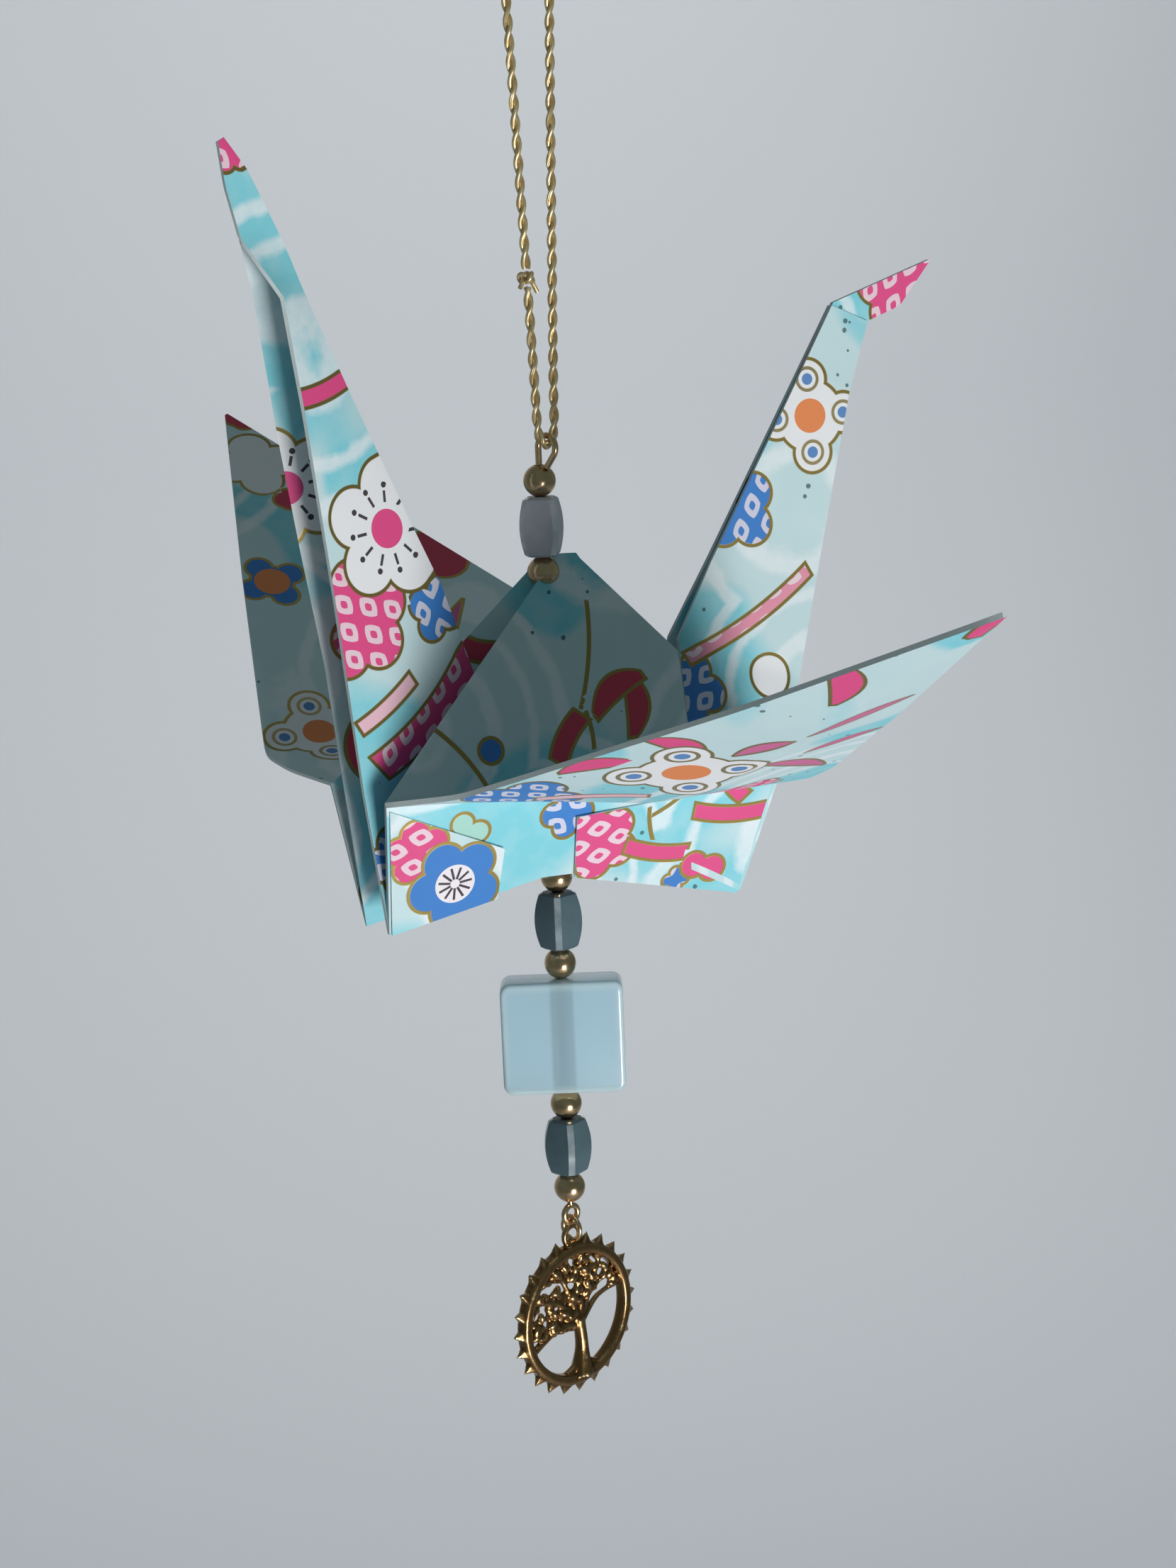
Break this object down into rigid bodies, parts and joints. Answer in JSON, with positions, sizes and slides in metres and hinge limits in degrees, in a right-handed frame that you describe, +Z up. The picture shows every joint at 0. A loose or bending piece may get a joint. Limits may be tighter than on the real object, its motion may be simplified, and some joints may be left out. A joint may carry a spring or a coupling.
{
  "type": "hanging origami crane ornament",
  "caption": "Folded patterned-paper crane on a metallic cord loop, threaded on a wire with glass and gold beads above and below and a cast tree charm at the foot.",
  "frame": {"origin": "where the cord loop bears on the peg or hook that it hangs from", "axes": "+Z up; +X from the wire towards the crane's neck; +Y towards its far wing"},
  "size_m": [0.0709, 0.1141, 0.139],
  "materials": {
    "metallic_cord": "twisted gold metallic cord",
    "gold_wire": "gold plated craft wire",
    "gold_bead": "polished gold plate",
    "patterned_paper": "aqua printed paper with gold line",
    "grey_glass": "frosted grey-mauve glass with polished edges",
    "teal_glass": "frosted teal-grey glass with polished edges",
    "aqua_glass": "pale aqua translucent pressed glass",
    "antique_gold": "cast, antique gold plate darkened in the hollows"
  },
  "bodies": {
    "hanger": {"hanging_cord": "metallic_cord", "cord_knot": "metallic_cord"},
    "strung_wire": {"stringing_wire": "gold_wire"},
    "paper_crane": {"crane": "patterned_paper"},
    "top_round_bead_body": {"top_round_bead": "gold_bead"},
    "grey_barrel_bead_body": {"grey_barrel_bead": "grey_glass"},
    "back_round_bead_body": {"back_round_bead": "gold_bead"},
    "belly_round_bead_body": {"belly_round_bead": "gold_bead"},
    "upper_teal_barrel_bead_body": {"upper_teal_barrel_bead": "teal_glass"},
    "upper_spacer_bead_body": {"upper_spacer_bead": "gold_bead"},
    "square_glass_bead_body": {"square_glass_bead": "aqua_glass"},
    "lower_spacer_bead_body": {"lower_spacer_bead": "gold_bead"},
    "lower_teal_barrel_bead_body": {"lower_teal_barrel_bead": "teal_glass"},
    "end_round_bead_body": {"end_round_bead": "gold_bead"},
    "ring": {"jump_ring": "gold_wire"},
    "charm": {"tree_charm": "antique_gold"}
  },
  "joints": [
    {"name": "wire_swing", "type": "hinge", "parent": "hanger", "child": "strung_wire", "pos_m": [0, 0, -0.04636], "axis": [0.9455, 0.3256, 0], "range_deg": [-35, 35]},
    {"name": "crane_spin", "type": "hinge", "parent": "strung_wire", "child": "paper_crane", "pos_m": [-0.00036, 0.00104, -0.078], "axis": [0, 0, 1], "continuous": true},
    {"name": "top_round_spin", "type": "hinge", "parent": "strung_wire", "child": "top_round_bead_body", "pos_m": [-0.00036, 0.00104, -0.078], "axis": [0, 0, 1], "continuous": true},
    {"name": "grey_barrel_spin", "type": "hinge", "parent": "strung_wire", "child": "grey_barrel_bead_body", "pos_m": [-0.00036, 0.00104, -0.078], "axis": [0, 0, 1], "continuous": true},
    {"name": "back_round_spin", "type": "hinge", "parent": "strung_wire", "child": "back_round_bead_body", "pos_m": [-0.00036, 0.00104, -0.078], "axis": [0, 0, 1], "continuous": true},
    {"name": "belly_round_spin", "type": "hinge", "parent": "strung_wire", "child": "belly_round_bead_body", "pos_m": [-0.00036, 0.00104, -0.078], "axis": [0, 0, 1], "continuous": true},
    {"name": "upper_teal_barrel_spin", "type": "hinge", "parent": "strung_wire", "child": "upper_teal_barrel_bead_body", "pos_m": [-0.00036, 0.00104, -0.078], "axis": [0, 0, 1], "continuous": true},
    {"name": "upper_spacer_spin", "type": "hinge", "parent": "strung_wire", "child": "upper_spacer_bead_body", "pos_m": [-0.00036, 0.00104, -0.078], "axis": [0, 0, 1], "continuous": true},
    {"name": "square_glass_spin", "type": "hinge", "parent": "strung_wire", "child": "square_glass_bead_body", "pos_m": [-0.00036, 0.00104, -0.078], "axis": [0, 0, 1], "continuous": true},
    {"name": "lower_spacer_spin", "type": "hinge", "parent": "strung_wire", "child": "lower_spacer_bead_body", "pos_m": [-0.00036, 0.00104, -0.078], "axis": [0, 0, 1], "continuous": true},
    {"name": "lower_teal_barrel_spin", "type": "hinge", "parent": "strung_wire", "child": "lower_teal_barrel_bead_body", "pos_m": [-0.00036, 0.00104, -0.078], "axis": [0, 0, 1], "continuous": true},
    {"name": "end_round_spin", "type": "hinge", "parent": "strung_wire", "child": "end_round_bead_body", "pos_m": [-0.00036, 0.00104, -0.078], "axis": [0, 0, 1], "continuous": true},
    {"name": "ring_swing", "type": "hinge", "parent": "strung_wire", "child": "ring", "pos_m": [-0.00036, 0.00104, -0.1209], "axis": [0.9563, 0.2924, 0], "range_deg": [-60, 60]},
    {"name": "charm_swing", "type": "hinge", "parent": "ring", "child": "charm", "pos_m": [-0.00036, 0.00104, -0.12262], "axis": [0.2924, -0.9563, 0], "range_deg": [-60, 60]}
  ]
}
